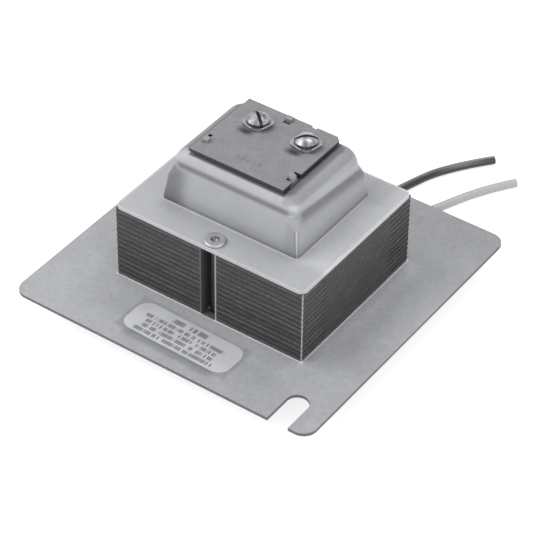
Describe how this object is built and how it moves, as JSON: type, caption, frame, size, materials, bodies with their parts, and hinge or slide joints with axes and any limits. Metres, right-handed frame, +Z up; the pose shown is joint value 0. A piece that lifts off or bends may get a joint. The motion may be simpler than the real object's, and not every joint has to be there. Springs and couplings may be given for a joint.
{
  "type": "laminated chassis transformer",
  "caption": "Square sheet-steel cover plate carrying a riveted laminated core, a drawn end bell with a screw terminal board on top, a coil beneath and rear wire leads.",
  "frame": {"origin": "centre of the mounting plate's underside, which is the mounting face", "axes": "+Z up through the core to the terminals, X along the plate's front edge, +Y towards the leads at the rear"},
  "size_m": [0.1064, 0.1486, 0.0591],
  "materials": {
    "plate_steel": "satin zinc-plated sheet steel",
    "bell_steel": "satin zinc-plated drawn sheet steel",
    "core_steel": "dark varnished silicon steel edges",
    "rivet_steel": "plain plated steel",
    "label_paper": "matt pale foil label",
    "board_fibre": "matt laminated board",
    "screw_steel": "bright nickel-plated steel",
    "strap_brass": "plain brass",
    "coil_paper": "matt varnished kraft paper",
    "coil_wire": "varnished copper winding",
    "sleeve_plastic": "varnished glass braid",
    "black_insulation": "black insulated wire",
    "white_insulation": "white insulated wire"
  },
  "bodies": {
    "root": {"mounting_plate": "plate_steel", "nameplate": "label_paper", "e_lamination_01": "core_steel", "e_lamination_02": "core_steel", "e_lamination_03": "core_steel", "e_lamination_04": "core_steel", "e_lamination_05": "core_steel", "e_lamination_06": "core_steel", "e_lamination_07": "core_steel", "e_lamination_08": "core_steel", "e_lamination_09": "core_steel", "e_lamination_10": "core_steel", "e_lamination_11": "core_steel", "e_lamination_12": "core_steel", "e_lamination_13": "core_steel", "e_lamination_14": "core_steel", "e_lamination_15": "core_steel", "e_lamination_16": "core_steel", "e_lamination_17": "core_steel", "e_lamination_18": "core_steel", "e_lamination_19": "core_steel", "e_lamination_20": "core_steel", "e_lamination_21": "core_steel", "e_lamination_22": "core_steel", "e_lamination_23": "core_steel", "e_lamination_24": "core_steel", "e_lamination_25": "core_steel", "e_lamination_26": "core_steel", "e_lamination_27": "core_steel", "e_lamination_28": "core_steel", "i_laminations_front": "core_steel", "i_laminations_rear": "core_steel", "core_rivet_front": "rivet_steel", "core_rivet_rear": "rivet_steel", "top_bell": "bell_steel", "terminal_board": "board_fibre", "terminal_screw_left": "screw_steel", "clamp_washer_left": "screw_steel", "terminal_strap_left": "strap_brass", "secondary_wire_left": "coil_wire", "terminal_screw_right": "screw_steel", "clamp_washer_right": "screw_steel", "terminal_strap_right": "strap_brass", "secondary_wire_right": "coil_wire", "coil_tube": "coil_paper", "secondary_winding": "coil_wire", "interwinding_insulation": "coil_paper", "primary_winding": "coil_wire", "coil_wrap": "coil_paper", "lead_sleeve_black": "sleeve_plastic", "lead_sleeve_white": "sleeve_plastic", "lead_black": "black_insulation", "lead_white": "white_insulation"}
  },
  "joints": []
}
